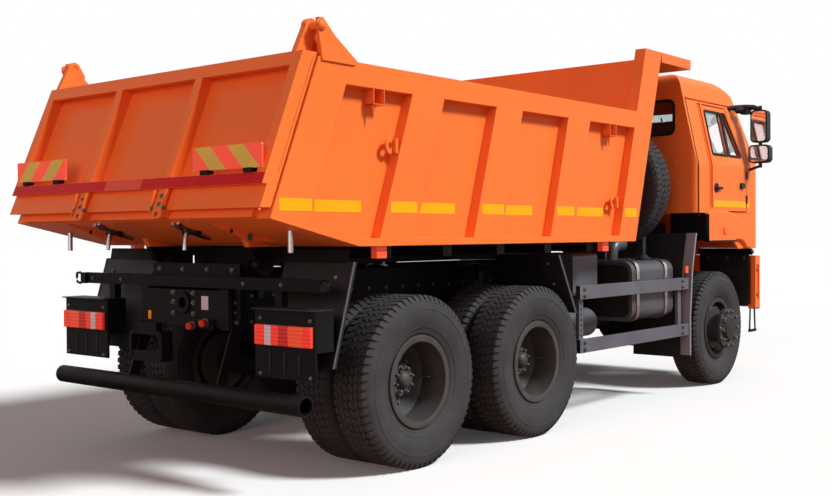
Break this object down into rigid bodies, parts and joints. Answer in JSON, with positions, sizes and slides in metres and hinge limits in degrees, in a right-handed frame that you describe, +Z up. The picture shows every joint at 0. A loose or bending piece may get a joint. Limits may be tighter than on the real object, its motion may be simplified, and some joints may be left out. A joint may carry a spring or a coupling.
{
  "type": "dump truck",
  "caption": "Three-axle all-wheel-drive dump truck with twin rear wheels, ribbed steel tipping bed, top-hung tailgate and forward-tilting cab.",
  "frame": {"origin": "on the ground under the middle of the truck's length and width", "axes": "+X forward, +Y to the truck's left, +Z up"},
  "size_m": [6.953, 2.84, 2.984],
  "materials": {
    "orange_paint": "gloss",
    "black_paint": "satin",
    "grey_metal": "satin",
    "cast_iron": "matte",
    "steel": "satin",
    "tyre": "matte",
    "black_plastic": "matte",
    "lamp_lens": "gloss",
    "reflector": "satin",
    "glass": "gloss",
    "seat_fabric": "matte"
  },
  "bodies": {
    "chassis": {"frame_rail_left": "black_paint", "frame_rail_right": "black_paint", "crossmembers": "black_paint", "subframe": "black_paint", "bogie_trunnion": "black_paint", "front_axle": "black_paint", "rear_axles": "black_paint", "springs": "black_paint", "power_train": "cast_iron", "fuel_tank": "grey_metal", "battery_rack": "black_paint", "hydraulic_tank": "grey_metal", "silencer": "grey_metal", "side_guards": "grey_metal", "rear_crossbeam": "black_paint", "tail_lamps": "lamp_lens", "rear_bumper": "black_paint", "mudguards": "black_plastic", "spare_tyre": "tyre", "spare_carrier": "black_paint", "front_bumper": "orange_paint", "headlamps": "glass"},
    "cab": {"cab_shell": "orange_paint", "cab_roof": "orange_paint", "cab_glass": "glass", "cab_fenders": "orange_paint", "seats": "seat_fabric", "dashboard": "black_plastic", "mirrors": "black_plastic"},
    "door_left_body": {"door_left": "orange_paint", "door_glass_left": "glass"},
    "door_right_body": {"door_right": "orange_paint", "door_glass_right": "glass"},
    "steer_left": {"knuckle_left": "cast_iron"},
    "steer_right": {"knuckle_right": "cast_iron"},
    "track_rod": {"tie_rod": "steel"},
    "wheel_front_left": {"tyre_front_left": "tyre", "rim_front_left": "black_paint"},
    "wheel_front_right": {"tyre_front_right": "tyre", "rim_front_right": "black_paint"},
    "wheels_mid_left": {"tyres_mid_left": "tyre", "rims_mid_left": "black_paint"},
    "wheels_mid_right": {"tyres_mid_right": "tyre", "rims_mid_right": "black_paint"},
    "wheels_rear_left": {"tyres_rear_left": "tyre", "rims_rear_left": "black_paint"},
    "wheels_rear_right": {"tyres_rear_right": "tyre", "rims_rear_right": "black_paint"},
    "bed": {"bed_floor": "orange_paint", "bed_side_left": "orange_paint", "bed_side_right": "orange_paint", "bed_headboard": "orange_paint", "side_markers": "lamp_lens"},
    "gate": {"tailgate": "orange_paint", "marker_boards": "reflector"},
    "lift_base": {"lift_barrel": "black_paint"},
    "lift_ram_1": {"lift_stage_1": "steel"},
    "lift_ram_2": {"lift_stage_2": "steel"},
    "lift_ram_3": {"lift_stage_3": "steel"}
  },
  "joints": [
    {"name": "bed_tip", "type": "hinge", "parent": "chassis", "child": "bed", "pos_m": [-2.74347, 0, 1.275], "axis": [0, -1, 0], "range_deg": [0, 50]},
    {"name": "gate_swing", "type": "hinge", "parent": "bed", "child": "gate", "pos_m": [-2.98947, 0, 2.618], "axis": [0, 1, 0], "range_deg": [0, 70]},
    {"name": "cab_tilt", "type": "hinge", "parent": "chassis", "child": "cab", "pos_m": [3.34153, 0, 1.262], "axis": [0, 1, 0], "range_deg": [0, 50]},
    {"name": "steering", "type": "hinge", "parent": "chassis", "child": "steer_right", "pos_m": [2.57653, -0.78, 0.541], "axis": [0, 0, 1], "range_deg": [-30, 30]},
    {"name": "steering_left", "type": "hinge", "parent": "chassis", "child": "steer_left", "pos_m": [2.57653, 0.78, 0.541], "axis": [0, 0, 1], "range_deg": [-31, 31]},
    {"name": "track_rod_pivot", "type": "hinge", "parent": "steer_right", "child": "track_rod", "pos_m": [2.29653, -0.78, 0.391], "axis": [0, 0, 1], "range_deg": [-31, 31]},
    {"name": "door_left_swing", "type": "hinge", "parent": "cab", "child": "door_left_body", "pos_m": [2.97853, 1.205, 2.08], "axis": [0, 0, -1], "range_deg": [0, 68]},
    {"name": "door_right_swing", "type": "hinge", "parent": "cab", "child": "door_right_body", "pos_m": [2.97853, -1.205, 2.08], "axis": [0, 0, 1], "range_deg": [0, 68]},
    {"name": "wheel_front_left_spin", "type": "hinge", "parent": "steer_left", "child": "wheel_front_left", "pos_m": [2.57653, 0.97, 0.541], "axis": [0, 1, 0], "continuous": true},
    {"name": "wheels_mid_left_spin", "type": "hinge", "parent": "chassis", "child": "wheels_mid_left", "pos_m": [-0.76347, 0.93, 0.541], "axis": [0, 1, 0], "continuous": true},
    {"name": "wheels_rear_left_spin", "type": "hinge", "parent": "chassis", "child": "wheels_rear_left", "pos_m": [-2.08347, 0.93, 0.541], "axis": [0, 1, 0], "continuous": true},
    {"name": "wheel_front_right_spin", "type": "hinge", "parent": "steer_right", "child": "wheel_front_right", "pos_m": [2.57653, -0.97, 0.541], "axis": [0, 1, 0], "continuous": true},
    {"name": "wheels_mid_right_spin", "type": "hinge", "parent": "chassis", "child": "wheels_mid_right", "pos_m": [-0.76347, -0.93, 0.541], "axis": [0, 1, 0], "continuous": true},
    {"name": "wheels_rear_right_spin", "type": "hinge", "parent": "chassis", "child": "wheels_rear_right", "pos_m": [-2.08347, -0.93, 0.541], "axis": [0, 1, 0], "continuous": true},
    {"name": "lift_swing", "type": "hinge", "parent": "chassis", "child": "lift_base", "pos_m": [-1.18347, 0, 0.78], "axis": [0, -1, 0], "range_deg": [0, 27.95]},
    {"name": "lift_slide_1", "type": "slide", "parent": "lift_base", "child": "lift_ram_1", "axis": [0.1924, 0, 0.9813], "range_m": [0, 0.4443]},
    {"name": "lift_slide_2", "type": "slide", "parent": "lift_ram_1", "child": "lift_ram_2", "axis": [0.1924, 0, 0.9813], "range_m": [0, 0.4443]},
    {"name": "lift_slide_3", "type": "slide", "parent": "lift_ram_2", "child": "lift_ram_3", "axis": [0.1924, 0, 0.9813], "range_m": [0, 0.4443]}
  ],
  "couplings": [
    {"joint": "steering_left", "follows": "steering", "ratio": 1},
    {"joint": "track_rod_pivot", "follows": "steering", "ratio": -1},
    {"joint": "lift_swing", "follows": "bed_tip", "ratio": 0.53897},
    {"joint": "lift_slide_1", "follows": "bed_tip", "m_per_rad": 0.5068},
    {"joint": "lift_slide_2", "follows": "bed_tip", "m_per_rad": 0.5068},
    {"joint": "lift_slide_3", "follows": "bed_tip", "m_per_rad": 0.5068}
  ]
}
